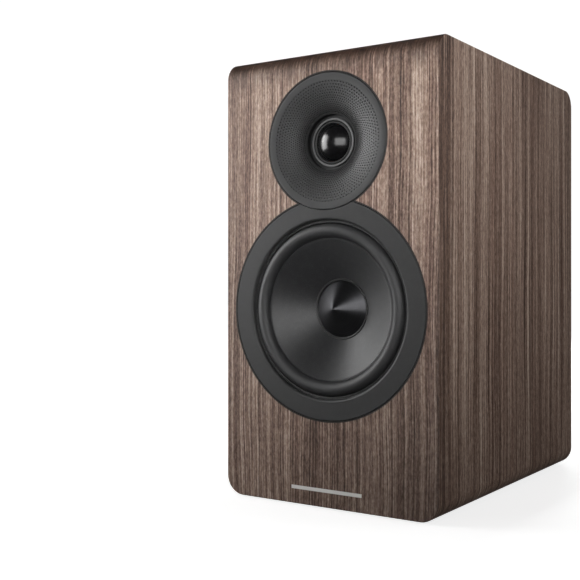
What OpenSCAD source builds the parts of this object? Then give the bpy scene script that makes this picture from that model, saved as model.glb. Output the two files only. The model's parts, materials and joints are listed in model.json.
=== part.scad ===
// Two-way bookshelf speaker with a rear slot port and two binding posts.
// The frame has +Z up and the front facing -Y, with its origin under the middle of the whole object.

/* [Cabinet] */
// Width of the cabinet
cab_w = 162; // [160:1:180]
// Depth of the cabinet, front to back
cab_d = 245; // [240:1:290]
// Height of the cabinet
cab_h = 300; // [296:1:340]
// Thickness of the front baffle
baffle_t = 20; // [19:1:24]
// Thickness of the other panels
panel_t = 15; // [14:0.5:16]
// Thickness of the walnut veneer
veneer_t = 0.6; // [0.4:0.1:0.8]
// Radius of the rounded edges: top front, top rear, and both bottom sides
edge_r = 13; // [8:0.5:13]
// Radius of the nearly sharp edges
small_r = 1.5; // [1:0.5:2]
// Height of the rubber feet
foot_h = 1; // [0.8:0.1:4]

/* [Drivers] */
// Height of the woofer's axis above the cabinet's underside
woofer_z = 129.2; // [128:0.1:132]
// Height of the tweeter's axis above the cabinet's underside
tweeter_z = 239.3; // [238:0.1:242]
// Radius of the woofer's trim ring
ring_r = 72.4; // [70:0.1:74]
// Radius of the tweeter's waveguide
guide_r = 44.7; // [43:0.1:45]
// Gap around each driver's rim
rim_gap = 0.4; // [0.2:0.1:0.6]
// Depth of the cap's tip behind the front face
cap_tip_d = 8.3; // [6:0.1:12]
// Height of the tweeter's dome
dome_h = 5.4; // [4:0.1:6]

/* [Rear] */
// Height of the slot port's middle above the cabinet's underside
port_z = 256; // [240:1:258]
// Height of the port's opening
port_h = 16; // [12:1:18]
// Width of the port's straight part, between its round ends
port_core = 80; // [60:1:84]
// Length of the port duct
port_l = 110; // [80:1:130]
// Height of the terminal plate's middle above the cabinet's underside
terminal_z = 76; // [60:1:90]
// Distance between the two binding posts
post_pitch = 36; // [28:1:40]
// Length of each knob
knob_l = 19; // [17:1:22]
// Radius of each knob
knob_r = 8.5; // [8:0.1:10]

/* [Hidden] */
$fn = 96;
EPS = 0.02;

// Terminal plate and what stands on it, measured out from the rear face
plate_size = [96, 60];
plate_t = 3;
plate_sink = 0.7;
plate_face = plate_t - plate_sink;
gasket_t = 0.8;
boss_h = 2.5;
boss_r = 9;
washer_t = 1;
washer_r = 7.8;
post_r = 3;
socket_r = 2;
socket_l = 15;
knob_inset = 0.5;
knob_base = plate_face + boss_h + washer_t;
rear_reach = knob_base + knob_l;
front_y = -(cab_d + rear_reach) / 2;

// Woofer, as [radius, depth behind the front face]
ring_t = 3.2;
ring_in = 59;
lip_r = 57.55;
flange_r = 65;
flange_d = [4.4, 7.4];
basket_hole_r = 59.2;
roll = [52.05, 5.19];
roll_r = 4.94;
roll_t = 0.8;
roll_base = 4.3;
cone_rim = [47.1, 4.1];
cone_start_r = 46.2;
cone_neck = [17.9, 21.2];
cone_power = 1.08;
cone_t = 0.6;
cap_r = 18.9;
cap_t = 0.5;
coil_r = 17.6;
woofer_screw_r = 62.4;
basket_back = 43;
spider_d = 31.2;

// Tweeter, as [radius, depth behind the front face]
guide_flat_r = 43.6;
throat = [18.4, 6.5];
guide_power = 1.6;
guide_body_r = 39.8;
seat_d = 9.9;
dome_r = 12.4;
tweeter_screw_r = 36.2;
tweeter_hole_r = 32.8;

// Crossover board, as [x, depth, height] in the cabinet
board_lo = [-40, 108, panel_t + 6];
board_size = [80, 98, 1.6];
board_top = board_lo[2] + board_size[2];
standoffs = [for (x = [-35, 35], y = [115, 199]) [x, y]];

// Wire routes, as [depth, height] in the cabinet
woofer_route = [[114, 22.7], [112, 28], [98, 34], [76, 33], [52, 39], [36, 54], [30.4, 73.3]];
tweeter_route = [[124, 22.7], [122, 45], [102, 85], [88, 130], [86, 170], [70, 190], [48, 190], [38.4, 202.2]];
input_route = [[230.9, 76], [224, 72], [214, 48], [205, 30], [203, 22.7]];
wire_r = 1.2;
wire_gap = 3;

// ---- Places ----

// Cabinet space: x from the middle, y back from the front face, z up from the cabinet's underside
module in_cabinet() {
    translate([0, front_y, foot_h]) children();
}

// Driver space: local z runs back from the front face along an axis at the given height
module on_axis(height) {
    translate([0, 0, height]) rotate([-90, 0, 0]) children();
}

module woofer_space() {
    in_cabinet() on_axis(woofer_z) children();
}

module tweeter_space() {
    in_cabinet() on_axis(tweeter_z) children();
}

// Rear space: local z runs out from the rear face, at the given height
module rear_space(height) {
    in_cabinet() translate([0, cab_d, height]) mirror([0, 0, 1]) rotate([-90, 0, 0]) children();
}

// One binding post's space: side is -1 for the black post and 1 for the red one
module post_space(side) {
    rear_space(terminal_z) translate([side * post_pitch / 2, 0, 0]) children();
}

// ---- Shapes ----

// Rectangle from the origin to [w, h]; its corner radii r run counterclockwise from the origin
module rounded_rect(w, h, r) {
    polygon([
        [r[0], 0], [w - r[1], 0], [w, r[1]], [w, h - r[2]],
        [w - r[2], h], [r[3], h], [0, h - r[3]], [0, r[0]]
    ]);
    translate([r[0], r[0]]) circle(r[0]);
    translate([w - r[1], r[1]]) circle(r[1]);
    translate([w - r[2], h - r[2]]) circle(r[2]);
    translate([r[3], h - r[3]]) circle(r[3]);
}

// The cabinet's outer shape, moved in by inset on every face
module envelope(inset) {
    big = edge_r - inset;
    small = small_r - inset;
    w = cab_w - 2 * inset;
    d = cab_d - 2 * inset;
    h = cab_h - 2 * inset;
    translate([-w / 2, inset, inset]) intersection() {
        rotate([90, 0, 90]) linear_extrude(w) rounded_rect(d, h, [small, small, big, big]);
        translate([0, d, 0]) rotate([90, 0, 0]) linear_extrude(d)
            rounded_rect(w, h, [big, big, small, small]);
        linear_extrude(h) rounded_rect(w, d, [small, small, small, small]);
    }
}

// Box between two corners
module box(lo, hi) {
    translate(lo) cube(hi - lo);
}

// Tube from one depth to another
module ring(r_in, r_out, from, to) {
    translate([0, 0, from]) difference() {
        cylinder(r = r_out, h = to - from);
        translate([0, 0, -1]) cylinder(r = r_in, h = to - from + 2);
    }
}

// Disc from one depth to another
module disc(r, from, to) {
    translate([0, 0, from]) cylinder(r = r, h = to - from);
}

// The children, repeated around the axis, with the first at the angle start
module around(count, start, radius) {
    for (i = [0:count - 1]) rotate([0, 0, start + i * 360 / count]) translate([radius, 0, 0]) children();
}

// A slot with round ends, of the given half height
module stadium(core, r) {
    square([core, 2 * r], center = true);
    for (side = [-1, 1]) translate([side * core / 2, 0]) circle(r);
}

// A profile of [distance from the slot's middle line, depth], swept around a slot
module stadium_sweep(core) {
    for (side = [-1, 1]) translate([side * core / 2, 0, 0]) rotate([0, 0, -90 * side])
        rotate_extrude(angle = 180) children();
    for (turn = [0, 180]) rotate([0, 0, turn]) translate([-core / 2, 0, 0]) rotate([90, 0, 90])
        linear_extrude(core) children();
}

// Pan-head screw: its head stands before the depth seat, and its shank runs back from it
module screw(head_r, head_h, shank_r, seat, length) {
    disc(head_r, seat - head_h, seat);
    disc(shank_r, seat - EPS, seat + length);
}

// ---- Curves ----

// Points on an arc about c, from angle a to angle b
function arc(c, r, a, b, n = 8) =
    [for (i = [0:n]) let (t = a + (b - a) * i / n) c + r * [cos(t), sin(t)]];

// Depth of the cone's front surface at radius r
function cone_d(r) = cone_rim[1] + (cone_neck[1] - cone_rim[1])
    * pow(max(0, cone_start_r - r) / (cone_start_r - cone_neck[0]), cone_power);

// Depth of the waveguide's front surface at radius r
function guide_d(r) = throat[1] * pow(max(0, guide_flat_r - r) / (guide_flat_r - throat[0]), guide_power);

// Depth of the spider at radius r: flat at both edges with four waves between
function spider_wave(r) = spider_d - 1.3 * sin(360 * 4 * (r - 20) / 16) * (r > 20 && r < 36 ? 1 : 0);

// Radius of the basket's outer wall at depth d
function basket_out(d) = 58.5 - (d - flange_d[1]) * 15.5 / 30.6;

// A smooth curve through the points p, with the given number of steps from each to the next
function smooth(p, steps) = [
    for (i = [0:len(p) - 2], s = [0:steps - 1])
        let (
            t = s / steps,
            a = p[max(i - 1, 0)],
            b = p[i],
            c = p[i + 1],
            d = p[min(i + 2, len(p) - 1)]
        )
        b + (c - a) * t / 2 + (2 * a - 5 * b + 4 * c - d) * t * t / 2
            + (3 * b - a - 3 * c + d) * t * t * t / 2,
    p[len(p) - 1]
];

// Wire of radius r along a route of [depth, height] points, in the plane at the given x
module wire(route, x, r, sides = 8) {
    p = smooth(route, 4);
    n = len(p);
    heading = [
        for (i = [0:n - 1])
            let (v = p[min(i + 1, n - 1)] - p[max(i - 1, 0)]) v / norm(v)
    ];
    points = [
        for (i = [0:n - 1], k = [0:sides - 1])
            let (a = 360 * k / sides, out = r * cos(a), across = r * sin(a))
            [x + across, p[i][0] - out * heading[i][1], p[i][1] + out * heading[i][0]]
    ];
    walls = [
        for (i = [0:n - 2], k = [0:sides - 1])
            let (a = i * sides + k, b = i * sides + (k + 1) % sides)
            [a, b, b + sides, a + sides]
    ];
    first_end = [for (k = [0:sides - 1]) sides - 1 - k];
    last_end = [for (k = [0:sides - 1]) (n - 1) * sides + k];
    polyhedron(points, concat(walls, [first_end, last_end]));
}

// ---- Cabinet ----

// The stepped holes that both drivers sit in
module driver_holes() {
    on_axis(woofer_z) {
        disc(ring_r + rim_gap, -1, ring_t);
        disc(flange_r + rim_gap, -1, flange_d[1] + 1);
        disc(basket_hole_r, -1, baffle_t + 1);
        around(6, 0, woofer_screw_r) disc(1.35, 0, 17);
    }
    on_axis(tweeter_z) {
        disc(guide_r + rim_gap, -1, ring_t);
        disc(guide_body_r + rim_gap, -1, seat_d + 2.1);
        disc(tweeter_hole_r, -1, baffle_t + 1);
        around(4, 45, tweeter_screw_r) disc(1.25, 0, 18.5);
    }
}

// The holes for the grille's magnets, behind the veneer
module magnet_spots(r, from, to) {
    for (x = [-67, 67], z = [24, 284]) on_axis(z) translate([x, 0, 0]) disc(r, from, to);
}

// The stepped holes for the port and the terminal plate
module rear_holes() {
    translate([0, cab_d, port_z]) rotate([90, 0, 0]) {
        translate([0, 0, -1]) linear_extrude(3) stadium(port_core, port_h / 2 + 12.3);
        linear_extrude(panel_t + 1) stadium(port_core, port_h / 2 + 9.4);
    }
    translate([0, cab_d, terminal_z]) rotate([90, 0, 0]) {
        translate([0, 0, -1]) linear_extrude(1 + plate_sink + gasket_t) plate_outline(rim_gap);
        translate([-36, -18, 0]) linear_extrude(panel_t + 1) rounded_rect(72, 36, [5, 5, 5, 5]);
        for (x = [-42, 42], y = [-24, 24]) translate([x, y, 0]) cylinder(r = 1.35, h = 13);
    }
}

module plate_outline(grow) {
    w = plate_size[0] + 2 * grow;
    h = plate_size[1] + 2 * grow;
    r = 6 + grow;
    translate([-w / 2, -h / 2]) rounded_rect(w, h, [r, r, r, r]);
}

module front_baffle() {
    color("burlywood") in_cabinet() difference() {
        intersection() {
            envelope(veneer_t);
            box([-cab_w, 0, 0], [cab_w, baffle_t, cab_h]);
        }
        driver_holes();
        magnet_spots(4.1, 0, veneer_t + 3.1);
    }
}

module rear_panel() {
    color("burlywood") in_cabinet() difference() {
        intersection() {
            envelope(veneer_t);
            box([-cab_w, cab_d - panel_t, 0], [cab_w, cab_d, cab_h]);
        }
        rear_holes();
    }
}

module top_panel() {
    color("burlywood") in_cabinet() intersection() {
        envelope(veneer_t);
        box([-cab_w, baffle_t, cab_h - panel_t], [cab_w, cab_d - panel_t, cab_h]);
    }
}

module bottom_panel() {
    color("burlywood") in_cabinet() difference() {
        intersection() {
            envelope(veneer_t);
            box([-cab_w, baffle_t, 0], [cab_w, cab_d - panel_t, panel_t]);
        }
        for (p = standoffs) translate([p[0], p[1], 8]) cylinder(r = 1.25, h = panel_t);
    }
}

module side_panel(side) {
    inner = cab_w / 2 - panel_t;
    outer = cab_w / 2 - veneer_t;
    color("burlywood") in_cabinet()
        box([side > 0 ? inner : -outer, baffle_t, panel_t],
            [side > 0 ? outer : -inner, cab_d - panel_t, cab_h - panel_t]);
}

module left_side_panel() {
    side_panel(-1);
}

module right_side_panel() {
    side_panel(1);
}

module walnut_veneer() {
    color("saddlebrown") in_cabinet() difference() {
        envelope(0);
        envelope(veneer_t);
        on_axis(woofer_z) disc(ring_r + rim_gap, -1, ring_t);
        on_axis(tweeter_z) disc(guide_r + rim_gap, -1, ring_t);
        front_strip_slot(EPS);
        rear_holes();
    }
}

// The slot in the veneer, low on the front, that the plain metal strip lies flush in
module front_strip_slot(grow) {
    w = 54 + 2 * grow;
    h = 2.4 + 2 * grow;
    translate([-w / 2, -grow, 11 - h / 2]) cube([w, veneer_t + 2 * grow, h]);
}

module front_strip() {
    color("silver") in_cabinet() front_strip_slot(0);
}

module grille_magnets() {
    color("dimgray") in_cabinet() magnet_spots(4, veneer_t, veneer_t + 3);
}

module rubber_feet() {
    color("black") in_cabinet()
        for (x = [-55, 55], y = [28, cab_d - 28]) translate([x, y, -foot_h]) cylinder(r = 8, h = foot_h);
}

module acoustic_wadding() {
    inner = cab_w / 2 - panel_t;
    color("ivory") in_cabinet() {
        for (side = [-1, 1])
            box([side > 0 ? inner - 12 : -inner, 84, 20], [side > 0 ? inner : 12 - inner, 206, 262]);
        box([-50, cab_d - panel_t - 14, 104], [50, cab_d - panel_t, 232]);
    }
}

// The port's wall, as [distance from the slot's middle line, depth from the rear face]
module port_profile() {
    r = port_h / 2;
    polygon(concat(
        [[r, port_l]],
        arc([r + 8, 8], 8, 180, 270),
        [[r + 12, 0], [r + 12, 2], [r + 8.6, 2], [r + 5, 3.4], [r + 2.8, 6], [r + 2, 10], [r + 2, port_l]]
    ));
}

module port_duct() {
    color("dimgray") in_cabinet() translate([0, cab_d, port_z]) rotate([90, 0, 0])
        stadium_sweep(port_core) port_profile();
}

// ---- Woofer ----

module woofer_trim_ring() {
    color("dimgray") woofer_space() difference() {
        rotate_extrude() polygon([
            [ring_r - 0.4, 0], [ring_r, 0.4], [ring_r, ring_t], [lip_r - 0.45, ring_t],
            [lip_r - 0.45, 2.95], [lip_r - 0.2, 2.62], [lip_r + 0.2, 2.62], [lip_r + 0.45, 2.95],
            [ring_in - 0.4, 2.9], [ring_in - 0.25, 1.6], [ring_in, 0.85], [ring_in + 0.35, 0.35],
            [ring_in + 0.9, 0.06], [ring_in + 1.4, 0]
        ]);
        translate([0, woofer_z - tweeter_z, 0]) disc(guide_r + rim_gap, -1, ring_t + 1);
    }
}

module woofer_gasket() {
    color("black") woofer_space() difference() {
        ring(basket_hole_r + 0.1, flange_r - 0.1, flange_d[1], flange_d[1] + 1);
        around(6, 0, woofer_screw_r) disc(1.5, flange_d[1] - 1, flange_d[1] + 2);
    }
}

module woofer_basket() {
    color("gray") woofer_space() difference() {
        union() {
            rotate_extrude() polygon([
                [flange_r, flange_d[0]], [flange_r, flange_d[1]], [basket_out(flange_d[1]), flange_d[1]],
                [basket_out(38), 38], [basket_out(38), basket_back], [24, basket_back], [24, 40.5],
                [40.8, 40.5], [40.8, 38], [56.4, flange_d[1]], [56.4, flange_d[0]]
            ]);
            rotate_extrude() polygon([
                [37, spider_d + 0.4], [45, spider_d + 0.4], [44, spider_d + 2.4], [37, spider_d + 2.4]
            ]);
        }
        around(6, 30, 30) translate([0, -18, 11]) cube([40, 36, 18]);
        around(6, 0, woofer_screw_r) disc(1.5, 0, 10);
    }
}

module woofer_screws() {
    color("black") woofer_space() around(6, 0, woofer_screw_r) screw(2.3, 1.1, 1.3, flange_d[0], 12);
}

module woofer_surround() {
    outer_foot = roll[0] + roll_r;
    inner_foot = roll[0] - roll_r;
    color("black") woofer_space() rotate_extrude() {
        intersection() {
            translate(roll) difference() {
                circle(roll_r);
                circle(roll_r - roll_t);
            }
            translate([inner_foot - 1, roll_base - 10]) square([2 * roll_r + 2, 10]);
        }
        translate([outer_foot - roll_t - 0.1, roll_base - roll_t])
            square([59.8 - outer_foot + roll_t + 0.1, roll_t]);
        translate([inner_foot + 0.09, roll_base - EPS]) square([roll_t - 0.1, 1.1 + EPS]);
        translate([inner_foot - 0.8, roll_base + 0.55]) square([0.8 + roll_t - 0.01, 0.55]);
    }
}

module woofer_cone() {
    radii = [for (i = [0:12]) cone_start_r + (cone_neck[0] - cone_start_r) * i / 12];
    front = [for (r = radii) [r, cone_d(r)]];
    back = [for (i = [12:-1:0]) [radii[i], cone_d(radii[i]) + cone_t]];
    color("#2a2a2c") woofer_space() rotate_extrude()
        polygon(concat([cone_rim], front, back, [cone_rim + [0, cone_t]]));
}

module woofer_cap_ring() {
    lo = 19.1;
    hi = 20.4;
    color("#3a3a3c") woofer_space() rotate_extrude() polygon([
        [lo, cone_d(lo) - EPS], [lo, cone_d(lo) - 0.5], [lo + 0.3, cone_d(lo) - 0.95],
        [hi - 0.5, cone_d(hi) - 0.65], [hi - 0.1, cone_d(hi) - 0.4], [hi, cone_d(hi) - EPS]
    ]);
}

// The pointed cap: a thin cone with a rounded tip, glued to the cone inside the ring
module woofer_dust_cap() {
    tip_r = 1.2;
    slope = atan((cone_d(cap_r) - cap_tip_d) / cap_r);
    inner = cap_r - cap_t / sin(slope);
    color("#1c1c1e") woofer_space() rotate_extrude() polygon(concat(
        arc([0, cap_tip_d + tip_r], tip_r, -90, -90 + slope, 4),
        [[cap_r, cone_d(cap_r) - EPS], [inner, cone_d(inner) - EPS - 0.1], [0, cap_tip_d + 2.2]]
    ));
}

module woofer_coil_former() {
    color("khaki") woofer_space() ring(coil_r, coil_r + 0.25, cone_neck[1], 54);
}

module woofer_voice_coil() {
    color("peru") woofer_space() ring(coil_r + 0.25, coil_r + 0.9, 42, 54);
}

module woofer_spider() {
    radii = [for (i = [0:40]) 18.6 + 20 * i / 40];
    front = [for (r = radii) [r, spider_wave(r)]];
    back = [for (i = [40:-1:0]) [radii[i], spider_wave(radii[i]) + 0.4]];
    color("goldenrod") woofer_space() rotate_extrude() union() {
        polygon(concat(front, [[42.5, spider_d], [42.5, spider_d + 0.4]], back));
        translate([18.15, spider_d - 1]) square([0.5, 2.4]);
    }
}

module woofer_top_plate() {
    color("silver") woofer_space() ring(coil_r + 1.3, 40, basket_back, basket_back + 6);
}

module woofer_magnet() {
    color("#303032") woofer_space() ring(24, 42, basket_back + 6, basket_back + 22);
}

module woofer_yoke() {
    color("silver") woofer_space() {
        difference() {
            union() {
                disc(coil_r - 0.4, basket_back + 0.5, basket_back + 22 + EPS);
                disc(40, basket_back + 22, basket_back + 28);
            }
            disc(5, basket_back, basket_back + 29);
        }
    }
}

// Terminal strip: its foot lies along the basket's wall, below the window that the lead-outs pass
module woofer_terminals() {
    top = basket_out(29) + EPS;
    foot = basket_out(38) + EPS;
    color("peru") woofer_space() {
        translate([9, 0, 0]) rotate([0, -90, 0]) linear_extrude(18)
            polygon([[38, foot], [29, top], [25, top + 2.6], [25, top + 4.2], [38, top + 4.2]]);
        for (x = [-wire_gap, wire_gap])
            translate([x - 2, top + 4.2, 30]) cube([4, 4, 0.8]);
    }
}

// Lead-outs, from the cone's back through the basket's window to the terminal strip
module woofer_lead_outs() {
    route = [[18.4, 27], [24, 34], [25.5, 42], [23.6, 49.6]];
    color("sienna") woofer_space() rotate([90, 0, 0]) mirror([0, 0, 1])
        for (x = [-wire_gap, wire_gap]) wire(route, x, 0.5, 6);
}

// ---- Tweeter ----

module tweeter_waveguide() {
    radii = [for (i = [0:14]) throat[0] + (guide_flat_r - throat[0]) * i / 14];
    color("#3c3d3d") tweeter_space() rotate_extrude() polygon(concat(
        [[throat[0] - 0.35, seat_d], [throat[0] - 0.35, throat[1] + 0.4]],
        [for (r = radii) [r, guide_d(r)]],
        [[guide_r - 0.4, 0], [guide_r, 0.4], [guide_r, ring_t], [guide_body_r, ring_t],
         [guide_body_r, seat_d]]
    ));
}

module tweeter_mount_plate() {
    color("gray") tweeter_space() difference() {
        ring(14.3, guide_body_r, seat_d, seat_d + 2.1);
        around(4, 45, tweeter_screw_r) {
            disc(1.4, seat_d - 1, seat_d + 3);
            disc(2.4, seat_d - 1, seat_d + 1.2);
        }
    }
}

module tweeter_screws() {
    color("black") tweeter_space() around(4, 45, tweeter_screw_r)
        screw(2.2, 1.1, 1.2, seat_d + 1.2, 7);
}

module tweeter_clamp_ring() {
    color("silver") tweeter_space() rotate_extrude() polygon([
        [14.7, seat_d - 0.3], [14.7, 8.9], [15.05, 8.65], [15.75, 8.65], [16.1, 8.9], [16.1, seat_d - 0.3]
    ]);
}

module tweeter_surround() {
    mid = 13.45;
    color("black") tweeter_space() rotate_extrude() {
        intersection() {
            translate([mid, seat_d]) difference() {
                circle(0.95);
                circle(0.65);
            }
            translate([mid - 1, seat_d - 1]) square([2, 1]);
        }
        translate([mid + 0.64, seat_d - 0.3]) square([2, 0.3]);
    }
}

// The dome: a cap of a sphere with its edge at the seat
module tweeter_dome() {
    ball_r = (dome_r * dome_r + dome_h * dome_h) / (2 * dome_h);
    color("#101012") tweeter_space() intersection() {
        translate([0, 0, seat_d - dome_h + ball_r]) difference() {
            sphere(ball_r);
            sphere(ball_r - 0.25);
        }
        disc(dome_r + 1, seat_d - dome_h - 1, seat_d);
    }
}

module tweeter_voice_coil() {
    color("peru") tweeter_space() rotate_extrude() polygon([
        [12.15, seat_d + EPS], [12.35, seat_d + EPS], [12.35, 12.2], [12.7, 12.2], [12.7, 15.2],
        [12.15, 15.2]
    ]);
}

module tweeter_top_plate() {
    color("silver") tweeter_space() ring(13.1, 32, seat_d + 2.1, seat_d + 5.1);
}

module tweeter_magnet() {
    color("#303032") tweeter_space() ring(17, 31.5, seat_d + 5.1, seat_d + 13.1);
}

module tweeter_yoke() {
    color("silver") tweeter_space() {
        disc(11.85, 11, seat_d + 13.1 + EPS);
        disc(30, seat_d + 13.1, seat_d + 17.1);
    }
}

module tweeter_rear_chamber() {
    back = seat_d + 17.1;
    color("dimgray") tweeter_space() rotate_extrude() polygon([
        [27, back], [29, back], [29, back + 18], [0, back + 18], [0, back + 16], [27, back + 16]
    ]);
}

module tweeter_terminals() {
    color("peru") tweeter_space() {
        box([-9, 29 + EPS, 34], [9, 31, 44]);
        for (x = [-wire_gap, wire_gap]) translate([x - 2, 31, 38]) cube([4, 6, 0.8]);
    }
}

// ---- Crossover and wires ----

module crossover_board() {
    color("darkgreen") in_cabinet() difference() {
        box(board_lo, board_lo + board_size);
        for (p = standoffs) translate([p[0], p[1], 0]) cylinder(r = 1.6, h = 60);
    }
}

module crossover_standoffs() {
    color("white") in_cabinet() for (p = standoffs) translate([p[0], p[1], 0])
        ring(1.5, 3, panel_t, board_lo[2]);
}

module crossover_screws() {
    color("silver") in_cabinet() for (p = standoffs) translate([p[0], p[1], board_top]) mirror([0, 0, 1])
        screw(2.6, 1.6, 1.2, 0, 13);
}

// A coil on a bobbin that stands on the board
module inductor(place, r_in, r_out, height) {
    in_cabinet() translate([place[0], place[1], board_top]) {
        color("ivory") rotate_extrude() polygon([
            [r_in - 2, 0], [r_out + 1, 0], [r_out + 1, 1.5], [r_in, 1.5], [r_in, height - 1.5],
            [r_out + 1, height - 1.5], [r_out + 1, height], [r_in - 2, height]
        ]);
        color("peru") ring(r_in, r_out, 1.5, height - 1.5);
    }
}

module bass_inductor() {
    inductor([-22, 142], 7, 16, 22);
}

module treble_inductor() {
    inductor([23, 136], 5, 12, 15);
}

// A capacitor lying across the board, with its two wires bent down to it
module capacitor(place, r, length) {
    in_cabinet() translate([place[0], place[1], board_top + r]) {
        rotate([0, 90, 0]) translate([0, 0, -length / 2]) cylinder(r = r, h = length);
        for (side = [-1, 1]) translate([side * (length / 2 + 2), 0, -r]) {
            cylinder(r = 0.5, h = r);
            translate([0, 0, r]) sphere(0.5);
            translate([0, 0, r]) rotate([0, -90 * side, 0]) cylinder(r = 0.5, h = 2.2);
        }
    }
}

module crossover_capacitors() {
    color("khaki") {
        capacitor([-20, 172], 7, 28);
        capacitor([-22, 190], 5.5, 22);
    }
}

module crossover_resistor() {
    color("white") in_cabinet() box([10, 168, board_top], [33, 178, board_top + 9]);
}

module woofer_wires() {
    color("firebrick") in_cabinet() for (x = [-wire_gap, wire_gap]) wire(woofer_route, x, wire_r);
}

module tweeter_wires() {
    color("firebrick") in_cabinet() for (x = [-wire_gap, wire_gap]) wire(tweeter_route, x, wire_r);
}

module input_wires() {
    color("firebrick") in_cabinet() for (side = [-1, 1]) wire(input_route, side * post_pitch / 2, wire_r);
}

// ---- Terminals ----

module terminal_plate() {
    color("#202022") rear_space(terminal_z) difference() {
        union() {
            translate([0, 0, -plate_sink]) linear_extrude(plate_t) plate_outline(0);
            for (side = [-1, 1]) translate([side * post_pitch / 2, 0, 0])
                disc(boss_r, 0, plate_face + boss_h);
        }
        for (side = [-1, 1]) translate([side * post_pitch / 2, 0, 0]) disc(post_r + 0.05, -2, 10);
        for (x = [-42, 42], y = [-24, 24]) translate([x, y, 0]) disc(1.6, -2, 10);
    }
}

module terminal_gasket() {
    color("black") rear_space(terminal_z) translate([0, 0, -plate_sink - gasket_t]) linear_extrude(gasket_t)
        difference() {
            plate_outline(0);
            translate([-36, -18]) rounded_rect(72, 36, [5, 5, 5, 5]);
            for (x = [-42, 42], y = [-24, 24]) translate([x, y]) circle(1.8);
        }
}

module terminal_screws() {
    color("black") rear_space(terminal_z) for (x = [-42, 42], y = [-24, 24])
        translate([x, y, plate_face]) mirror([0, 0, 1]) screw(2.8, 1.6, 1.3, 0, 13);
}

// Threaded posts: each has a 4 mm socket in its end and a wire hole across it
module terminal_posts() {
    tip = rear_reach - knob_inset;
    color("gold") for (side = [-1, 1]) post_space(side) difference() {
        disc(post_r, -14, tip);
        disc(socket_r, tip - socket_l, tip + 1);
        translate([0, 0, plate_face + boss_h + 2]) rotate([90, 0, 0])
            cylinder(r = 1.3, h = 10, center = true);
    }
}

module terminal_nuts() {
    nut_r = 10 / 2 / cos(30);
    color("gold") for (side = [-1, 1]) post_space(side) difference() {
        translate([0, 0, -plate_sink - 3.5]) cylinder(r = nut_r, h = 3.5, $fn = 6);
        disc(post_r + 0.05, -10, 1);
    }
}

module clamp_washer(side) {
    post_space(side) ring(post_r + 0.08, washer_r, plate_face + boss_h, knob_base);
}

module red_washer() {
    color("gold") clamp_washer(1);
}

module black_washer() {
    color("gold") clamp_washer(-1);
}

// Knob: a fluted grip with a plain bore for the post
module knob(side) {
    post_space(side) difference() {
        rotate_extrude() polygon([
            [post_r + 0.08, knob_base], [knob_r - 0.4, knob_base], [knob_r, knob_base + 0.4],
            [knob_r, rear_reach - 1.2], [knob_r - 1.2, rear_reach], [post_r + 0.08, rear_reach]
        ]);
        around(12, 0, knob_r + 0.5) disc(1.1, knob_base + 3, rear_reach + 1);
    }
}

module red_knob() {
    color("red") knob(1);
}

module black_knob() {
    color("#222222") knob(-1);
}

// ---- Nodes ----

front_baffle();
top_panel();
bottom_panel();
left_side_panel();
right_side_panel();
rear_panel();
walnut_veneer();
front_strip();
grille_magnets();
rubber_feet();
acoustic_wadding();
port_duct();
woofer_trim_ring();
woofer_gasket();
woofer_basket();
woofer_screws();
woofer_surround();
woofer_cone();
woofer_cap_ring();
woofer_dust_cap();
woofer_coil_former();
woofer_voice_coil();
woofer_spider();
woofer_top_plate();
woofer_magnet();
woofer_yoke();
woofer_terminals();
woofer_lead_outs();
tweeter_waveguide();
tweeter_mount_plate();
tweeter_screws();
tweeter_clamp_ring();
tweeter_surround();
tweeter_dome();
tweeter_voice_coil();
tweeter_top_plate();
tweeter_magnet();
tweeter_yoke();
tweeter_rear_chamber();
tweeter_terminals();
crossover_board();
crossover_standoffs();
crossover_screws();
bass_inductor();
treble_inductor();
crossover_capacitors();
crossover_resistor();
woofer_wires();
tweeter_wires();
input_wires();
terminal_plate();
terminal_gasket();
terminal_screws();
terminal_posts();
terminal_nuts();
red_washer();
black_washer();
red_knob();
black_knob();
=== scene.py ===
"""Bookshelf speaker: the visual model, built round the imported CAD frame.

Shapes are given in cabinet millimetres: x from the middle, depth back from the front face, and height
up from the cabinet's underside. Pieces turned about a driver's or a post's axis are given as profiles of
(radius, depth).
"""
import json
import math

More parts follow.
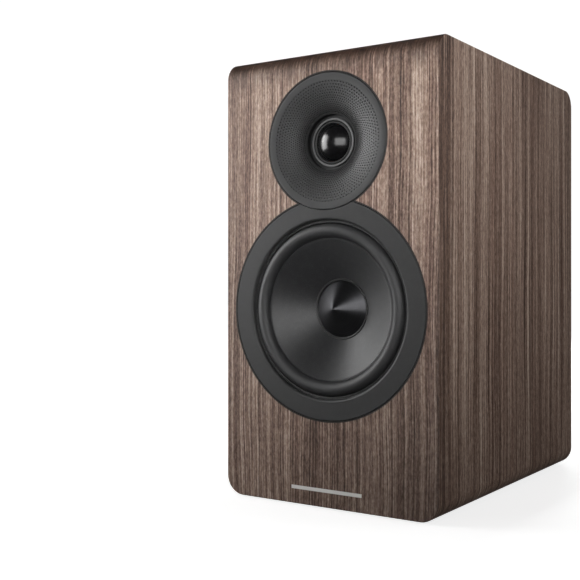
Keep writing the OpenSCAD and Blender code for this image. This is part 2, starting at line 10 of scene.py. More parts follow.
import bmesh
import bpy
import numpy as np
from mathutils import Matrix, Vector


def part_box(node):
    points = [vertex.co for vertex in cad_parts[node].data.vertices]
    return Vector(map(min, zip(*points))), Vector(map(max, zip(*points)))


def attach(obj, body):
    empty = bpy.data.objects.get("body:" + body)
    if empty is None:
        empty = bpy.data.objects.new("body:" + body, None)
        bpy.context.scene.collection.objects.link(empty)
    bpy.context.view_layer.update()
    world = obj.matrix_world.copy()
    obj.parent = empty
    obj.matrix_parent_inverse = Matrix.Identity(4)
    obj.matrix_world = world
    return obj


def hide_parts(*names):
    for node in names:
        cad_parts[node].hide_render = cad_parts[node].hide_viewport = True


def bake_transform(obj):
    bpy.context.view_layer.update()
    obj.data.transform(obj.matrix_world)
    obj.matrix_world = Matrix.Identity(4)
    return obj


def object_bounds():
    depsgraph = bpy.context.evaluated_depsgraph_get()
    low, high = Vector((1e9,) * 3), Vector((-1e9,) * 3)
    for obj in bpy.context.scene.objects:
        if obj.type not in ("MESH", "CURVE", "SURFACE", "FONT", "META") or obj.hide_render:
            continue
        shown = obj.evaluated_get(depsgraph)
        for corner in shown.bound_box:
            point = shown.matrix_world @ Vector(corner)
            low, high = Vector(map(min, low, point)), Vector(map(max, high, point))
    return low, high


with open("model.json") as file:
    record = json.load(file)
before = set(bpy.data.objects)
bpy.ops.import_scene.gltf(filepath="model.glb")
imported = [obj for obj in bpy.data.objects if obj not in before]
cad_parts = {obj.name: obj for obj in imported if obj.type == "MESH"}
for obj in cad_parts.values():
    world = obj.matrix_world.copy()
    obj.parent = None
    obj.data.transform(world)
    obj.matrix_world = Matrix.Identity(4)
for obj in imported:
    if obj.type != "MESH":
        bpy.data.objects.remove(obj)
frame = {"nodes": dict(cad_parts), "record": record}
cad_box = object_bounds()

MM = 0.001

# ---- Places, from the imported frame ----

cabinet_lo, cabinet_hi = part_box("walnut_veneer")
FRONT_Y = cabinet_lo.y
BASE_Z = cabinet_lo.z
WIDTH, DEPTH, HEIGHT = (cabinet_hi - cabinet_lo) / MM


def middle_height(node):
    """Height in the cabinet of the middle of a round node, found from its lowest point and its width."""
    lo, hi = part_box(node)
    return (lo.z - BASE_Z) / MM + (hi.x - lo.x) / MM / 2


WOOFER_Z = middle_height("woofer_trim_ring")
TWEETER_Z = middle_height("tweeter_waveguide")
RING_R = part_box("woofer_trim_ring")[1].x / MM
GUIDE_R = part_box("tweeter_waveguide")[1].x / MM
PLATE_Z = sum(v.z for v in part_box("terminal_plate")) / 2 / MM - BASE_Z / MM
POST_X = sum(v.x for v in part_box("red_knob")) / 2 / MM
PORT_Z = sum(v.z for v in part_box("port_duct")) / 2 / MM - BASE_Z / MM
# Gap between a driver's rim and the veneer, and how deep both drivers are let into the board
RIM_GAP = 0.4
DRIVER_SINK = 3.2
VENEER = 0.6
# The port's slot: the length between its round ends' centres, and half its height. The terminal
# plate's half width and half height.
PORT_CORE, PORT_HALF = 80, 8
PLATE_HALF = 48, 30
# Radii of the large rounded edges of the cabinet, and of its crisp ones
EDGE_R = 13
SMALL_R = 1.5


def spot(x, depth, height):
    """A point of the frame, in metres, from cabinet millimetres."""
    return Vector((x * MM, FRONT_Y + depth * MM, BASE_Z + height * MM))


# ---- Camera ----

CAMERA_TURN = 34.433
camera = bpy.data.objects.new("camera", bpy.data.cameras.new("camera"))
camera.data.lens = 60.61
camera.data.sensor_width = 36
camera.data.shift_y = -0.01675
camera.data.clip_start = 0.05
camera.data.clip_end = 60
camera.rotation_euler = (math.radians(90), 0, math.radians(CAMERA_TURN))
camera.location = spot(340.75, -538.12, 148.39)
bpy.context.scene.collection.objects.link(camera)
bpy.context.scene.camera = camera

# ---- Outlines ----


def rounded(corners, steps=6):
    """A closed outline through corners of (a, b, radius), each turned by an arc of its radius."""
    path = []
    for i, (a, b, radius) in enumerate(corners):
        here = Vector((a, b))
        if not radius:
            path.append((a, b))
            continue
        back = (Vector(corners[i - 1][:2]) - here).normalized()
        ahead = (Vector(corners[(i + 1) % len(corners)][:2]) - here).normalized()
        half = back.angle(ahead) / 2
        centre = here + (back + ahead).normalized() * radius / math.sin(half)
        first = back * radius / math.tan(half) + here - centre
        last = ahead * radius / math.tan(half) + here - centre
        for step in range(steps + 1):
            path.append(tuple(centre + first.lerp(last, step / steps).normalized() * radius))
    return path


def arc(centre, radius, first, last, steps):
    """Points on an arc, from one angle to another in degrees, with angles running from +a to +b."""
    angles = [math.radians(first + (last - first) * i / steps) for i in range(steps + 1)]
    return [(centre[0] + radius * math.cos(t), centre[1] + radius * math.sin(t)) for t in angles]


def line(first, last, steps):
    """Points on a straight line, from one step past its first point to its last."""
    return [tuple(a + (b - a) * i / steps for a, b in zip(first, last)) for i in range(1, steps + 1)]


def rectangle(half_wide, low, high, radius=0, steps=6):
    """A rectangle from low to high, as wide to each side, with its corners rounded."""
    corners = ((-half_wide, low), (half_wide, low), (half_wide, high), (-half_wide, high))
    return rounded([(a, b, radius) for a, b in corners], steps)


# ---- Meshes ----

# An edge that turns by more degrees than this is sharp, where nothing else is said
SHARP = 32


def mesh_object(name, points, faces, sharp=SHARP):
    """A smooth mesh from points in cabinet millimetres, creased where it turns by over sharp degrees."""
    mesh = bpy.data.meshes.new(name)
    metres = np.array(points, float) * MM + np.array((0, FRONT_Y, BASE_Z))
    mesh.from_pydata(metres.tolist(), [], faces)
    work = bmesh.new()
    work.from_mesh(mesh)
    bmesh.ops.recalc_face_normals(work, faces=work.faces)
    work.to_mesh(mesh)
    work.free()
    smoothed(mesh, sharp)
    obj = bpy.data.objects.new(name, mesh)
    bpy.context.scene.collection.objects.link(obj)
    return obj


def band(here, there):
    """Faces from one ring of point indexes to the next. A point on the axis repeats in its ring."""
    faces = []
    for k in range(len(here)):
        n = (k + 1) % len(here)
        corners = list(dict.fromkeys((here[k], here[n], there[n], there[k])))
        if len(corners) > 2:
            faces.append(corners)
    return faces


def turned(profile, segments=256, closed=True):
    """Points (a, b, depth) and faces of a profile of (radius, depth) turned about the depth axis."""
    points, faces, rings = [], [], []
    angles = [2 * math.pi * k / segments for k in range(segments)]
    for radius, depth in profile:
        start = len(points)
        if radius < 1e-6:
            points.append((0, 0, depth))
            rings.append([start] * segments)
        else:
            points += [(radius * math.sin(t), radius * math.cos(t), depth) for t in angles]
            rings.append(list(range(start, start + segments)))
    for here, there in zip(rings, rings[1:] + rings[:1] if closed else rings[1:]):
        faces += band(here, there)
    return points, faces


def placed(name, shape, height, x=0, face=0, sharp=SHARP):
    """The shape's mesh about an axis through the front face, or through another depth, running back."""
    points, faces = shape
    return mesh_object(name, [(x + a, face + depth, height + b) for a, b, depth in points], faces, sharp)


def behind(name, shape, height, x=0):
    """The shape's mesh about an axis through the rear face, with its depth running out from that face."""
    return placed(name, shape, height, x, DEPTH)


def prism(outline, low, high):
    """Points (a, b, c) and faces of an outline carried along c."""
    count = len(outline)
    points = [(a, b, c) for c in (low, high) for a, b in outline]
    low_ring, high_ring = list(range(count)), list(range(count, 2 * count))
    faces = band(low_ring, high_ring) + [low_ring, high_ring]
    return points, faces


def joined(shapes):
    """Several shapes as one."""
    points, faces = [], []
    for more_points, more_faces in shapes:
        faces += [[i + len(points) for i in face] for face in more_faces]
        points += more_points
    return points, faces


def applied(obj, kind, **settings):
    """Gives obj a modifier of the kind, with its settings, and applies it."""
    modifier = obj.modifiers.new(kind.lower(), kind)
    for key, value in settings.items():
        setattr(modifier, key, value)
    bpy.context.view_layer.update()
    mesh = bpy.data.meshes.new_from_object(obj.evaluated_get(bpy.context.evaluated_depsgraph_get()))
    obj.modifiers.clear()
    obj.data = mesh
    return obj


def cut(obj, tool, operation="DIFFERENCE"):
    """Cuts the tool from obj, or joins it on, and removes the tool."""
    applied(obj, "BOOLEAN", object=tool, operation=operation, solver="EXACT")
    bpy.data.objects.remove(tool)
    return obj


def bevelled(obj, width, segments=3):
    """Rounds obj's sharp edges."""
    return applied(obj, "BEVEL", width=width * MM, segments=segments, limit_method="ANGLE",
                   angle_limit=math.radians(SHARP))


def smoothed(mesh, sharp=SHARP):
    mesh.shade_smooth()
    mesh.set_sharp_from_angle(angle=math.radians(sharp))


def evened(obj):
    """Shades obj smooth, with flat faces kept flat beside their rounded edges."""
    smoothed(obj.data)
    return applied(obj, "WEIGHTED_NORMAL", keep_sharp=True, weight=80)


# ---- The tweeter's waveguide ----

# Where its flat rim ends, its throat as (radius, depth), its curve, and the depth of the dome's seat
GUIDE_FLAT, THROAT, GUIDE_POWER = 43.6, (18.4, 6.5), 1.6
SEAT = 9.9

# ---- Materials ----


def colour(red, green, blue):
    """A linear colour from display values of 0 to 255."""
    return tuple(((c / 255 + 0.055) / 1.055) ** 2.4 if c > 10 else c / 255 / 12.92
                 for c in (red, green, blue)) + (1,)


class Finish:
    """One material, whose node tree is built by short calls. Lengths in it are millimetres."""

    def __init__(self, name, **shader):
        self.material = bpy.data.materials.new(name)
        self.material.use_nodes = True
        self.tree = self.material.node_tree
        self.shader = self.tree.nodes["Principled BSDF"]
        for socket, value in shader.items():
            self.shader.inputs[socket.replace("_", " ")].default_value = value

    def node(self, kind, inputs=(), **settings):
        made = self.tree.nodes.new("ShaderNode" + kind)
        for key, value in settings.items():
            setattr(made, key, value)
        for socket, value in dict(inputs).items():
            if isinstance(value, bpy.types.NodeSocket):
                self.tree.links.new(value, made.inputs[socket])
            else:
                made.inputs[socket].default_value = value
        return made

    def math(self, operation, first, second=0.0):
        return self.node("Math", {0: first, 1: second}, operation=operation).outputs[0]

    def times(self, first, second):
        return self.math("MULTIPLY", first, second)

    def plus(self, first, second):
        return self.math("ADD", first, second)

    def minus(self, first, second):
        return self.math("SUBTRACT", first, second)

    def length(self, vector):
        return self.node("VectorMath", {0: vector}, operation="LENGTH").outputs["Value"]

    def place(self, stretch=(1, 1, 1), uv=None):
        """The point on the piece in millimetres, or its place on a UV map, times stretch."""
        if uv:
            source = self.node("UVMap", uv_map=uv).outputs[0]
        else:
            source = self.node("TexCoord").outputs["Object"]
        scale = tuple(s / MM for s in stretch)
        return self.node("Mapping", {"Vector": source, "Scale": scale}).outputs[0]

    def around(self, height, across=1.0, along=1.0):
        """A vector that changes with the direction from a driver's axis (across) and the radius (along)."""
        parts = self.node("SeparateXYZ", {0: self.place()})
        up = self.minus(parts.outputs[2], height + BASE_Z / MM)
        flat = self.node("CombineXYZ", {0: parts.outputs[0], 1: up}).outputs[0]
        heading = self.node("VectorMath", {0: flat}, operation="NORMALIZE").outputs[0]
        spread = self.node("VectorMath", {0: heading, "Scale": across}, operation="SCALE").outputs[0]
        rise = self.node("CombineXYZ", {2: self.times(self.length(flat), along)}).outputs[0]
        return self.node("VectorMath", {0: spread, 1: rise}, operation="ADD").outputs[0]

    def radius(self, height):
        """Distance from a driver's axis."""
        return self.length(self.around(height, 0))

    def noise(self, vector, scale=1.0, detail=3.0, roughness=0.5):
        inputs = {"Vector": vector, "Scale": scale, "Detail": detail, "Roughness": roughness}
        return self.node("TexNoise", inputs).outputs[0]

    def spread(self, value, low, high, to_low=0.0, to_high=1.0):
        inputs = {0: value, 1: low, 2: high, 3: to_low, 4: to_high}
        return self.node("MapRange", inputs).outputs[0]

    def ramp(self, value, *stops):
        made = self.node("ValToRGB", {0: value})
        elements = made.color_ramp.elements
        while len(elements) < len(stops):
            elements.new(1)
        for element, (place, shade) in zip(elements, stops):
            element.position = place
            element.color = colour(*shade)
        return made.outputs[0]

    def shades(self, noise, dark, light):
        """A colour from dark to light over the middle of a noise's range."""
        return self.ramp(self.spread(noise, 0.3, 0.7), (0, dark), (1, light))

    def gloss(self, noise, low, high):
        """A roughness from low to high over the middle of a noise's range."""
        return self.spread(noise, 0.3, 0.7, low, high)

    def mix(self, factor, first, second, blend="MIX"):
        inputs = {0: factor, 6: first, 7: second}
        return self.node("Mix", inputs, data_type="RGBA", blend_type=blend).outputs[2]

    def bump(self, height, distance):
        inputs = {"Height": height, "Distance": distance * MM, "Strength": 1.0}
        return self.node("Bump", inputs).outputs[0]

    def spin(self):
        """Runs the highlights round the drivers' axes, as on a turned disc."""
        tangent = self.node("Tangent", direction_type="RADIAL", axis="Y").outputs[0]
        self.tree.links.new(tangent, self.shader.inputs["Tangent"])

    def wear(self, base, roughness=None, normal=None):
        """Links what varies over the surface to the shader, and returns the material."""
        self.tree.links.new(base, self.shader.inputs["Base Color"])
        if roughness:
            self.tree.links.new(roughness, self.shader.inputs["Roughness"])
        if normal:
            self.tree.links.new(normal, self.shader.inputs["Normal"])
        return self.material


def coat(weight, roughness):
    """Shader inputs of a clear coat."""
    return {"Coat_Weight": weight, "Coat_Roughness": roughness}


def grained(name, dark, light, size, rough, relief, looks={}, stretch=(1, 1, 1)):
    """A surface with a fine grain of the given size, broader clouding, and uneven gloss."""
    f = Finish(name, **looks)
    point = f.place(stretch)
    fine = f.noise(point, 1 / size, 3)
    broad = f.noise(point, 0.08 / size, 2)
    tone = f.plus(f.times(fine, 0.65), f.times(broad, 0.35))
    return f.wear(f.shades(tone, dark, light), f.gloss(fine, *rough), f.bump(fine, relief))


def walnut():
    """Straight-grained walnut: broad bands, stripes a few millimetres wide, streaks, and open pores."""
    f = Finish("walnut", Specular_IOR_Level=0.35)
    parts = f.node("SeparateXYZ", {0: f.place(uv="grain")})
    across, along = parts.outputs[0], parts.outputs[1]
    sway = f.node("CombineXYZ", {0: f.times(across, 0.012), 1: f.times(along, 0.006)})
    drift = f.times(f.minus(f.noise(sway.outputs[0], 1, 2), 0.5), 9)
    across = f.plus(across, drift)

    def lines(fineness, length, detail, roughness=0.55):
        """Noise drawn out along the grain, with its scale per millimetre across and along it."""
        own_slice = fineness * 7.3
        x, y = f.times(across, fineness), f.times(along, length)
        return f.noise(f.node("CombineXYZ", {0: x, 1: y, 2: own_slice}).outputs[0], 1, detail, roughness)

    bands = lines(0.045, 0.0014, 2)
    stripes = lines(0.28, 0.0020, 3)
    streaks = lines(0.8, 0.004, 3, 0.7)
    flecks = lines(0.9, 0.30, 2, 0.7)
    fibres = lines(2.8, 0.06, 2)
    tone = 0.0
    for layer, share in ((bands, 0.13), (stripes, 0.23), (streaks, 0.35), (flecks, 0.17), (fibres, 0.12)):
        tone = f.plus(f.times(f.spread(layer, 0.25, 0.75), share), tone)
    wood = f.ramp(
        f.spread(tone, 0.335, 0.665),
        (0.0, (52, 35, 27)), (0.25, (90, 67, 55)), (0.5, (124, 101, 88)), (0.75, (156, 133, 118)),
        (1.0, (190, 171, 156)),
    )
    red = f.spread(lines(0.12, 0.002, 1), 0.5, 0.75, 0.0, 0.35)
    wood = f.mix(red, wood, colour(176, 132, 112), "MULTIPLY")

    # Painted shade: a darker band with a ragged edge over the top-front rounding, and low on the front's
    # right
    ragged = f.plus(along, f.times(f.minus(stripes, 0.5), 40))
    from_below = f.spread(ragged, HEIGHT - 20, HEIGHT - 2)
    painted_bend_shade = f.times(from_below, f.spread(along, HEIGHT + 40, HEIGHT + 14))
    wood = f.mix(f.times(painted_bend_shade, 0.92), wood, colour(90, 68, 56), "MULTIPLY")
    painted_low_right_shade = f.times(f.spread(along, 170, 10), f.spread(across, -40, 80))
    wood = f.mix(f.times(painted_low_right_shade, 0.6), wood, colour(148, 134, 128), "MULTIPLY")
    pores = f.spread(lines(3.0, 0.13, 1), 0.60, 0.72)
    wood = f.mix(f.times(pores, 0.5), wood, colour(52, 38, 32))

    # Painted shade: a thin dark line in the front face round the hole of each driver, for the shaded gap by
    # its rim
    parts = f.node("SeparateXYZ", {0: f.place()})
    front = f.math("LESS_THAN", parts.outputs[1], FRONT_Y / MM + 5)
    for height, radius in ((WOOFER_Z, RING_R), (TWEETER_Z, GUIDE_R)):
        edge = radius + RIM_GAP
        rim = f.times(f.spread(f.radius(height), edge + 1.0, edge + 0.7), front)
        wood = f.mix(f.times(rim, 0.96), wood, colour(12, 10, 9))
    relief = f.minus(f.times(fibres, 0.4), pores)
    return f.wear(wood, f.spread(streaks, 0.2, 0.8, 0.42, 0.58), f.bump(relief, 0.05))


def spun_metal():
    """The cap's dark metal, with fine turning marks round its axis."""
    f = Finish("cap_metal", Metallic=0.95, Anisotropic=0.85, Anisotropic_Rotation=0.25)
    f.spin()
    marks = f.noise(f.around(WOOFER_Z, 0.6, 5.0), 1, 3)
    return f.wear(f.shades(marks, (64, 64, 66), (74, 74, 76)), f.gloss(marks, 0.33, 0.37))


def clamp_metal():
    """The tweeter's clamp ring: satin metal turned on a lathe."""
    f = Finish("clamp_metal", Metallic=1.0)
    marks = f.noise(f.around(TWEETER_Z, 0.8, 7.0), 1, 2)
    base = f.shades(marks, (98, 98, 98), (118, 118, 118))
    return f.wear(base, f.gloss(marks, 0.36, 0.5), f.bump(marks, 0.01))


def guide_plastic():
    """The waveguide's satin plastic, with painted shade in its dimples, and painted shade darkening it to
    black down in the throat.
    """
    f = Finish("guide_plastic", Specular_IOR_Level=0.5)
    fine = f.noise(f.place(), 3.0, 3)
    base = f.shades(fine, (39, 39, 39), (46, 46, 46))
    # Painted shade, darkening the surface to black towards the throat
    deep = f.spread(f.radius(TWEETER_Z), 27, THROAT[0] + 0.6)
    base = f.mix(deep, base, colour(6, 6, 6))
    # Painted shade in the pits and on the throat's wall, from a value stored on the mesh
    pit_shade = f.node("Attribute", attribute_name="pit_shade").outputs["Fac"]
    base = f.mix(f.times(pit_shade, 0.95), base, colour(5, 5, 5))
    return f.wear(base, f.plus(f.gloss(fine, 0.40, 0.48), f.times(deep, 0.4)), f.bump(fine, 0.012))


def board_with_recess_shade():
    """The front baffle's fibreboard, with painted shade darkening it to black in the recesses of both
    drivers.
    """
    f = Finish("baffle_board")
    fine = f.noise(f.place((1, 2, 1)), 1.1, 3)
    base = f.shades(fine, *BOARD_TONES)
    for height, radius in ((WOOFER_Z, RING_R), (TWEETER_Z, GUIDE_R)):
        # Painted shade, black round each driver's hole
        recess_shade = f.spread(f.plus(f.radius(height), fine), radius + 3, radius + 1.5)
        base = f.mix(recess_shade, base, colour(12, 12, 12))
    return f.wear(base, f.gloss(fine, 0.7, 0.9), f.bump(fine, 0.05))


def cone_fibre():
    """The woofer's matt pressed cone, with a fine speckle and faint fibres."""
    f = Finish("cone_fibre", Specular_IOR_Level=0.55, Anisotropic=0.65, Anisotropic_Rotation=0.25)
    f.spin()
    speckle = f.noise(f.place(), 1.6, 4, 0.7)
    fibres = f.noise(f.around(WOOFER_Z, 9.0, 0.25), 1, 3)
    tone = f.plus(f.times(speckle, 0.75), f.times(fibres, 0.25))
    base = f.ramp(f.spread(tone, 0.32, 0.68), (0, (26, 26, 27)), (0.6, (37, 37, 38)), (1, (58, 58, 59)))
    return f.wear(base, f.gloss(speckle, 0.40, 0.50), f.bump(speckle, 0.02))


def roll_rubber():
    """The surrounds' rubber: charcoal on the woofer's roll, black on the tweeter's roll, and painted shade
    on the woofer's foot.
    """
    f = Finish("roll_rubber")
    fine = f.noise(f.place(), 2.0, 3)
    base = f.shades(fine, (36, 36, 37), (44, 44, 45))
    # Black beyond the woofer's roll: painted shade on its foot, down under the trim ring, and the tweeter's
    # roll black as well
    base = f.mix(f.spread(f.radius(WOOFER_Z), 55.6, 56.9), base, colour(7, 7, 7))
    return f.wear(base, f.gloss(fine, 0.46, 0.56), f.bump(fine, 0.01))


def wound_copper():
    """Enamelled copper wire, with its turns lying side by side."""
    f = Finish("copper", Metallic=1.0, Coat_Weight=0.4, Coat_Roughness=0.2)
    turns = f.node("TexWave", {"Vector": f.place((0, 1, 0)), "Scale": 0.6, "Distortion": 0.3},
                   bands_direction="Y").outputs["Fac"]
    fine = f.noise(f.place(), 1.5, 2)
    tone = f.times(turns, f.spread(fine, 0.2, 0.8, 0.6, 1.0))
    base = f.ramp(tone, (0, (112, 56, 28)), (1, (206, 124, 72)))
    return f.wear(base, f.gloss(fine, 0.28, 0.4), f.bump(turns, 0.05))


def woven(name, dark, light, pitch, **shader):
    """Plain-woven cloth with threads at the given pitch."""
    f = Finish(name, **shader)
    wave_pitch = 0.314
    threads = [
        f.node("TexWave", {"Vector": f.place(), "Scale": wave_pitch / pitch, "Distortion": 0.6},
               bands_direction=way).outputs["Fac"]
        for way in ("X", "Z")
    ]
    cloth = f.math("MAXIMUM", *threads)
    fuzz = f.noise(f.place(), 2.5, 3)
    tone = f.times(cloth, f.spread(fuzz, 0.2, 0.8, 0.7, 1.0))
    return f.wear(f.ramp(tone, (0, dark), (1, light)), f.gloss(fuzz, 0.7, 0.9), f.bump(cloth, 0.1))


METAL = {"Metallic": 1.0}
BOARD_TONES = (128, 100, 70), (176, 146, 108)
BAFFLE = board_with_recess_shade()
FINISHES = {
    "walnut": walnut(),
    "cap_metal": spun_metal(),
    "clamp_metal": clamp_metal(),
    "guide_plastic": guide_plastic(),
    "cone_fibre": cone_fibre(),
    "copper": wound_copper(),
    "spider_cloth": woven("spider_cloth", (120, 84, 30), (206, 160, 74), 0.7),
    "roll_rubber": roll_rubber(),
}
# The other slots: dark and light tone, size of grain, least and most roughness, and relief, then any
# inputs of the shader and the grain's stretch
GRAINED = {
    "mdf": (*BOARD_TONES, 0.9, (0.7, 0.9), 0.05, {}, (1, 2, 1)),
    "strip_metal": ((216, 215, 212), (242, 241, 238), 0.12, (0.38, 0.52), 0.01, {"Metallic": 0.1},
                    (0.04, 1, 1)),
    "magnet_metal": ((150, 146, 138), (186, 182, 174), 1.2, (0.2, 0.34), 0.01, METAL),
    "foot_rubber": ((16, 16, 17), (30, 30, 31), 0.5, (0.7, 0.9), 0.04),
    "wadding": ((196, 192, 182), (240, 237, 228), 1.1, (0.85, 1.0), 0.8,
                {"Sheen_Weight": 0.4, "Sheen_Roughness": 0.7}),
    "port_plastic": ((22, 22, 23), (34, 34, 35), 0.35, (0.42, 0.58), 0.03),
    "ring_plastic": ((46, 46, 46), (53, 53, 53), 0.3, (0.42, 0.5), 0.008, {"Specular_IOR_Level": 0.35}),
    "foam": ((18, 18, 18), (40, 40, 40), 0.4, (0.85, 1.0), 0.15),
    "basket_paint": ((18, 18, 19), (28, 28, 29), 0.4, (0.5, 0.65), 0.04),
    "black_screw": ((20, 20, 21), (38, 38, 40), 0.3, (0.3, 0.45), 0.02, {"Metallic": 0.6}),
    "former_film": ((150, 108, 44), (190, 142, 66), 0.6, (0.25, 0.4), 0.01, coat(0.5, 0.15)),
    "plated_steel": ((150, 152, 156), (192, 194, 197), 0.8, (0.25, 0.42), 0.01, METAL),
    "ferrite": ((34, 34, 37), (56, 56, 60), 0.5, (0.5, 0.7), 0.05),
    "brown_board": ((88, 56, 28), (124, 84, 46), 0.5, (0.5, 0.65), 0.03, {}, (1, 4, 4)),
    "dome_gloss": ((6, 6, 7), (10, 10, 11), 2.5, (0.20, 0.25), 0.002, coat(0.25, 0.16)),
    "board_green": ((14, 62, 34), (26, 92, 52), 1.6, (0.3, 0.42), 0.02, coat(0.3, 0.2)),
    "white_nylon": ((214, 212, 204), (236, 234, 228), 0.8, (0.45, 0.6), 0.02),
    "capacitor_film": ((176, 120, 30), (220, 168, 66), 1.0, (0.2, 0.32), 0.03, coat(0.5, 0.1), (0.4, 1, 1)),
    "cement": ((204, 202, 194), (234, 232, 226), 0.35, (0.75, 0.95), 0.08),
    "wire_red": ((150, 20, 18), (190, 34, 28), 0.8, (0.35, 0.5), 0.02),
    "terminal_plastic": ((20, 20, 21), (33, 33, 34), 0.3, (0.4, 0.55), 0.03),
    "gold_plate": ((206, 150, 62), (240, 192, 104), 0.8, (0.16, 0.28), 0.006, METAL),
    "knob_red": ((150, 12, 14), (176, 20, 20), 1.0, (0.16, 0.26), 0.008, coat(0.5, 0.08)),
    "knob_black": ((10, 10, 11), (18, 18, 19), 1.0, (0.16, 0.26), 0.008, coat(0.5, 0.08)),
}
for slot, values in GRAINED.items():
    FINISHES[slot] = grained(slot, *values)


def dress(obj, slot, body, *nodes):
    """Gives obj its finish, the CAD body that it rides on, and the CAD nodes that it stands for."""
    obj.data.materials.clear()
    obj.data.materials.append(FINISHES[slot])
    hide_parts(*nodes)
    if body:
        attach(obj, body)
    return obj


def flex(obj, body, moves, slot, *nodes):
    """Gives obj its finish and works out each point's share, 0 to 1, from moves, which nothing uses; body
    is not used.
    """
    dress(obj, slot, None, *nodes)
    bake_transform(obj)
    share = [min(max(moves(v.co / MM - spot(0, 0, 0) / MM), 0.0), 1.0) for v in obj.data.vertices]
    return obj


def radial_share(height, still, moving):
    """Share of a driver's motion at a point: none beyond the radius still, all of it within moving."""
    return lambda p: (still - math.hypot(p.x, p.z - height)) / (still - moving)


# ---- Cabinet ----


def envelope(name, inset):
    """The cabinet's outer shape, moved in by inset: big rounded edges only."""
    side, top = WIDTH / 2 - inset, HEIGHT - inset
    big = EDGE_R - inset
    profile = [(inset, inset, 0), (DEPTH - inset, inset, 0), (DEPTH - inset, top, big), (inset, top, big)]
    points, faces = prism(rounded(profile, 20), -side, side)
    body = mesh_object(name, [(x, d, z) for d, z, x in points], faces)
    outline = [(-side, inset, big), (side, inset, big), (side, top, 0), (-side, top, 0)]
    across = placed(name + "_across", prism(rounded(outline, 20), -1, DEPTH + 1), 0)
    return cut(body, across, "INTERSECT")


def slot_outline(core, radius, steps=32):
    """A slot with round ends, about the origin."""
    return arc((core / 2, 0), radius, -90, 90, steps) + arc((-core / 2, 0), radius, 90, 270, steps)


def lay_grain(obj):
    """UVs in metres along the grain: up the front, over the top and down the rear, or up each side.

    The underside carries on from the sides. The left side is moved along, so that it isn't the right
    side's mirror image.
    """
    layer = obj.data.uv_layers.new(name="grain")
    wide, deep, high = WIDTH * MM, DEPTH * MM, HEIGHT * MM
    # Metres that keep the grain of the sides apart from the front's, and from each other's; the lift also
    # keeps the front's painted shade off the sides
    left_shift, side_shift, side_lift = 0.61, 1.37, 2.0
    for face in obj.data.polygons:
        n = face.normal
        front_wrap = max(abs(n.y), n.z) > max(abs(n.x), -n.z)
        rear_half = face.center.y > FRONT_Y + deep / 2
        for loop in face.loop_indices:
            point = obj.data.vertices[obj.data.loops[loop].vertex_index].co
            depth, up = point.y - FRONT_Y, point.z - BASE_Z
            if front_wrap:
                layer.data[loop].uv = (point.x, depth + (2 * high - up if rear_half else up))
            else:
                shift = side_shift + (left_shift if face.center.x < 0 else 0)
                layer.data[loop].uv = (depth + shift, side_lift + up - (wide / 2 - abs(point.x)))


def walnut_skin():
    """The veneer: a skin round the cabinet, cut away for the drivers, the strip, the port and the plate."""
    skin = bevelled(envelope("walnut_skin", 0), SMALL_R, 4)
    cut(skin, envelope("core", VENEER))
    for radius, height in ((RING_R, WOOFER_Z), (GUIDE_R, TWEETER_Z)):
        hole = turned([(0, -2), (radius + RIM_GAP, -2), (radius + RIM_GAP, 2), (0, 2)], 384, False)
        cut(skin, placed("hole", hole, height))
    half_wide, half_high, strip_z = 27.02, 1.22, 11
    strip = prism(rectangle(half_wide, strip_z - half_high, strip_z + half_high), -1, 1)
    cut(skin, placed("hole", strip, 0))
    port = slot_outline(PORT_CORE, PORT_HALF + 12.3)
    plate = rectangle(PLATE_HALF[0] + 0.4, -PLATE_HALF[1] - 0.4, PLATE_HALF[1] + 0.4, 6.4)
    for outline, height in ((port, PORT_Z), (plate, PLATE_Z)):
        cut(skin, behind("hole", prism(outline, -2, 2), height))
    evened(skin)
    lay_grain(skin)
    dress(skin, "walnut", "cabinet", "walnut_veneer")


def front_strip():
    """The plain metal strip, flush in the veneer low on the front."""
    lo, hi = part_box("front_strip")
    low, high = (lo.z - BASE_Z) / MM, (hi.z - BASE_Z) / MM
    half = hi.x / MM
    strip = placed("strip", prism(rectangle(half, low, high, 0.3, 4), 0, VENEER), 0)
    evened(bevelled(strip, 0.12, 2))
    dress(strip, "strip_metal", "cabinet", "front_strip")


def rubber_feet():
    """Thin round pads with a soft edge and a ring pressed into the face that they stand on."""
    lo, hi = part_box("rubber_feet")
    high = (hi.z - lo.z) / MM
    groove = 0.25 - high
    profile = rounded([
        (0, 0, 0), (8, 0, 0.1), (8, -high, 0.35), (6, -high, 0.1), (5.6, groove, 0.1),
        (4.4, groove, 0.1), (4, -high, 0.1), (0, -high, 0),
    ], 4)
    points, faces = turned(profile, 96, False)
    side, end = 55, 28
    pads = [
        ([(x + a, depth + b, height) for a, b, height in points], faces)
        for x in (-side, side) for depth in (end, DEPTH - end)
    ]
    dress(mesh_object("foot_pads", *joined(pads)), "foot_rubber", "cabinet", "rubber_feet")


def port_liner():
    """The slot port's duct, with its flare flush in the rear panel."""
    half, length = PORT_HALF, 110
    profile = [(half, length)] + arc((half + 8, 8), 8, 180, 270, 14)
    profile += arc((half + 11.7, 0.3), 0.3, 270, 360, 4)
    outside = ((12, 2), (8.6, 2), (5, 3.4), (2.8, 6), (2, 10), (2, length))
    profile += [(half + thick, depth) for thick, depth in outside]
    count = len(slot_outline(PORT_CORE, half))
    points = [(a, b, -depth) for radius, depth in profile for a, b in slot_outline(PORT_CORE, radius)]
    rings = [range(start, start + count) for start in range(0, len(points), count)]
    faces = []
    for here, there in zip(rings, rings[1:] + rings[:1]):
        faces += band(here, there)
    duct = behind("port_liner", (points, faces), PORT_Z)
    dress(duct, "port_plastic", "cabinet", "port_duct")


